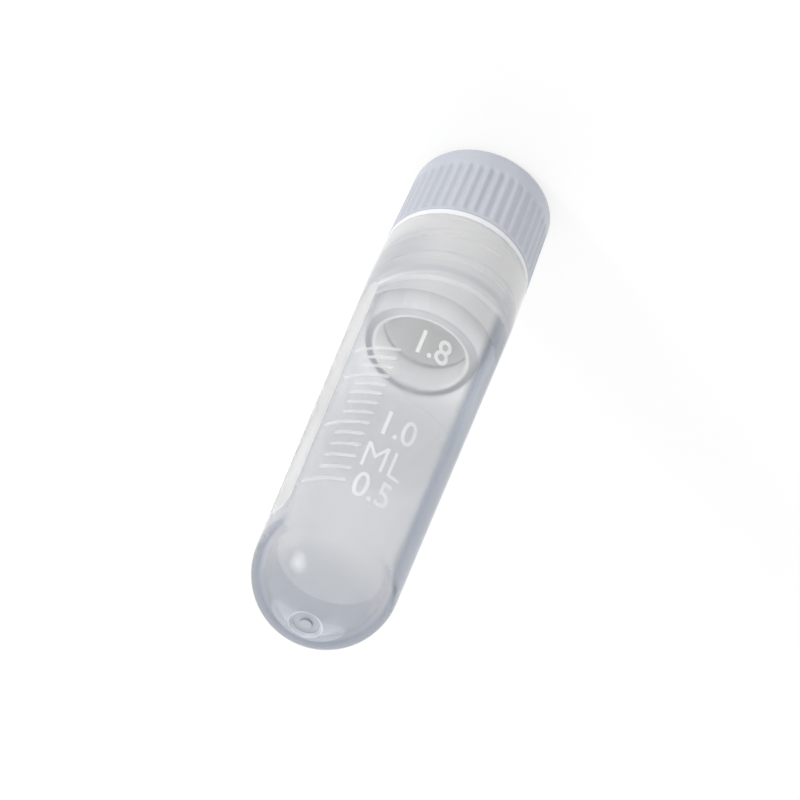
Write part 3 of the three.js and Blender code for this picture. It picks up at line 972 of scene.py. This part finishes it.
amount = math_node(specks, "MULTIPLY", math_node(
    specks, "MULTIPLY", softer.outputs[0], drift.outputs["Fac"]), specks_in.outputs["Amount"],
    clamp=True)
speckled = add(specks, "ShaderNodeMix", data_type="RGBA")
specks.links.new(amount, speckled.inputs["Factor"])
specks.links.new(specks_in.outputs["Colour"], speckled.inputs["A"])
specks.links.new(specks_in.outputs["Speck"], speckled.inputs["B"])
specks.links.new(speckled.outputs["Result"], specks_out.inputs["Colour"])
rougher = math_node(specks, "ADD", specks_in.outputs["Roughness"],
                    math_node(specks, "MULTIPLY", amount, 0.3), clamp=True)
specks.links.new(rougher, specks_out.inputs["Roughness"])
specks.links.new(drift.outputs["Fac"], specks_out.inputs["Height"])
print("group:", specks.name)

# %% Washer and ink materials


def speckled_finish(name, colour, speck, scale, amount, roughness, bump, **sockets):
    """A matt white finish with fine specks in its colour and surface."""
    material, tree, shader = new_material(name, colour, **sockets)
    look = use_group(tree, specks, Colour=(*colour, 1), Speck=(*speck, 1),
                     Speck_Scale=scale, Amount=amount, Roughness=roughness)
    dress(tree, look, shader, 0.2, bump)
    return material


washer.data.materials.append(speckled_finish(
    "washer_rubber", (0.74, 0.75, 0.77), (0.64, 0.65, 0.68), 2600.0, 0.5, 0.45, 0.02,
    Subsurface_Weight=0.25, Subsurface_Scale=0.0004, IOR=1.41))
print_ink, thin_ink = (
    speckled_finish(name, (0.95, 0.95, 0.95), (0.86, 0.865, 0.88), 4200.0, 0.35, 0.5, 0.006,
                    Alpha=cover)
    for name, cover in (("print_ink", 0.6), ("thin_ink", 0.3)))
scale_marks.data.materials.append(thin_ink)
scale_figures.data.materials.append(print_ink)

# %% [markdown]
# ## What moves with what
# The cap is the part that stays put. The tube turns and rises off it, and the print goes
# with the tube. Each new piece replaces the faceted solid that it was made from.

# %% Bodies and replaced solids
for piece, body, slot in (
    (cap, "cap", "cap_plastic"), (washer, "washer", "washer_silicone"),
    (tube, "tube", "tube_plastic"), (scale_marks, "tube", "tube_plastic"),
    (scale_figures, "tube", "tube_plastic"),
):
    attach(piece, body)
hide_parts("cap")
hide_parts("washer")
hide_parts("tube")

# %% [markdown]
# ## Floor and light
# A plain pale floor and a soft studio. Anything seen directly, in a reflection or through
# the plastic has to read as white paper, so the floor and the world answer those rays with
# plain white. The floor still mixes in its real, lit surface, which keeps the soft
# shadow at the foot of the vial.

# %% White for seen rays


def seen_rays(tree):
    """1 for camera, glossy and transmission rays, 0 for the rays that only carry light."""
    path = add(tree, "ShaderNodeLightPath")
    seen = math_node(tree, "MAXIMUM", path.outputs["Is Camera Ray"],
                     path.outputs["Is Glossy Ray"])
    return math_node(tree, "MAXIMUM", seen, path.outputs["Is Transmission Ray"])


floor_mesh = bpy.data.meshes.new("floor")
FLOOR_HALF, FLOOR_DROP, PAPER_WHITE = 1.5, 0.00002, 0.8
floor_mesh.from_pydata([(-FLOOR_HALF, -FLOOR_HALF, 0), (FLOOR_HALF, -FLOOR_HALF, 0),
                        (FLOOR_HALF, FLOOR_HALF, 0), (-FLOOR_HALF, FLOOR_HALF, 0)],
                       [], [(0, 1, 2, 3)])
floor = bpy.data.objects.new("floor", floor_mesh)
bpy.context.scene.collection.objects.link(floor)
floor.location.z = -FLOOR_DROP
floor_paper = bpy.data.materials.new("floor_paper")
floor_paper.use_nodes = True
tree = floor_paper.node_tree
tree.nodes.clear()
paper = add(tree, "ShaderNodeBsdfDiffuse")
fibres = add(tree, "ShaderNodeTexNoise", Scale=900.0, Detail=5.0)
fibre_tint = add(tree, "ShaderNodeMapRange", To_Min=0.86, To_Max=0.90)
tree.links.new(fibres.outputs["Fac"], fibre_tint.inputs["Value"])
tree.links.new(fibre_tint.outputs[0], paper.inputs["Color"])
glow = add(tree, "ShaderNodeEmission", Strength=1.0)
both = add(tree, "ShaderNodeMixShader")
tree.links.new(math_node(tree, "MULTIPLY", seen_rays(tree), PAPER_WHITE), both.inputs["Fac"])
tree.links.new(paper.outputs[0], both.inputs[1])
tree.links.new(glow.outputs[0], both.inputs[2])
sheet_out = add(tree, "ShaderNodeOutputMaterial")
tree.links.new(both.outputs[0], sheet_out.inputs["Surface"])
floor_mesh.materials.append(floor_paper)

# %% [markdown]
# The world gives most of the light, evenly from all sides. The key lamp stands in front
# and to the left. It is three ovals, one inside the other, so it is brightest in the middle
# and fades towards its rim, and so does the highlight that it leaves on the plastic. A
# large lamp behind and above lights the floor and the far wall of the tube.

# %% World and lamps
AMBIENT = 0.85
lamp_target = Vector((0, 0, 0.026))
world = bpy.data.worlds.new("studio")
bpy.context.scene.world = world
world.use_nodes = True
tree = world.node_tree
background = tree.nodes["Background"]
background.inputs["Color"].default_value = (1, 1, 1, 1)
strength = add(tree, "ShaderNodeMix", data_type="FLOAT", A=AMBIENT, B=1.0)
tree.links.new(seen_rays(tree), strength.inputs["Factor"])
tree.links.new(strength.outputs["Result"], background.inputs["Strength"])


def soft_lamp(name, place, width, height, power):
    """An oval area lamp that looks at the middle of the vial."""
    lamp = bpy.data.lights.new(name, "AREA")
    lamp.shape, lamp.size, lamp.size_y, lamp.energy = "ELLIPSE", width, height, power
    holder = bpy.data.objects.new(name, lamp)
    bpy.context.scene.collection.objects.link(holder)
    holder.location = place
    holder.visible_camera = False
    towards = lamp_target - Vector(place)
    holder.rotation_euler = towards.to_track_quat("-Z", "Y").to_euler()
    print(name, "at", place, "gives", power, "watts")
    return holder


for number, size in enumerate((1.0, 0.72, 0.44)):
    soft_lamp(f"key_lamp_{number}", (0.42, -0.28, 0.30), 0.24 * size, 0.32 * size, 0.48)
soft_lamp("back_lamp", (0.0, 1.0, 0.75), 2.1, 1.2, 8.4)

# %% [markdown]
# ## Camera
# The camera looks down at the vial from about 45 degrees above the floor, from the front,
# and from the length of an arm away, so the perspective is slight. It is held nearly upside
# down and tipped a little, so that the cap ends up at the top right of the frame.

# %% Camera
view_height = math.radians(44.75)
roll = math.radians(22.8)
view_distance = 0.4
aim = Vector((0, 0, 0.02559))
towards_camera = Vector((0, -math.cos(view_height), math.sin(view_height)))
level_up = Vector((0, math.sin(view_height), math.cos(view_height)))
right = Vector((-math.cos(roll), 0, 0)) - math.sin(roll) * level_up
top = Vector((math.sin(roll), 0, 0)) - math.cos(roll) * level_up

camera_data = bpy.data.cameras.new("camera")
camera_data.sensor_width = 36
camera_data.lens = 224.7
camera = bpy.data.objects.new("camera", camera_data)
bpy.context.scene.collection.objects.link(camera)
spin = camera.matrix_world.to_3x3()
for column, direction in enumerate((right, top, towards_camera)):
    spin.col[column] = direction
camera.matrix_world = spin.to_4x4()
camera.location = aim + towards_camera * view_distance
bpy.context.scene.camera = camera
bpy.context.scene.view_settings.view_transform = "Standard"
print("camera at", [round(x, 3) for x in camera.location])
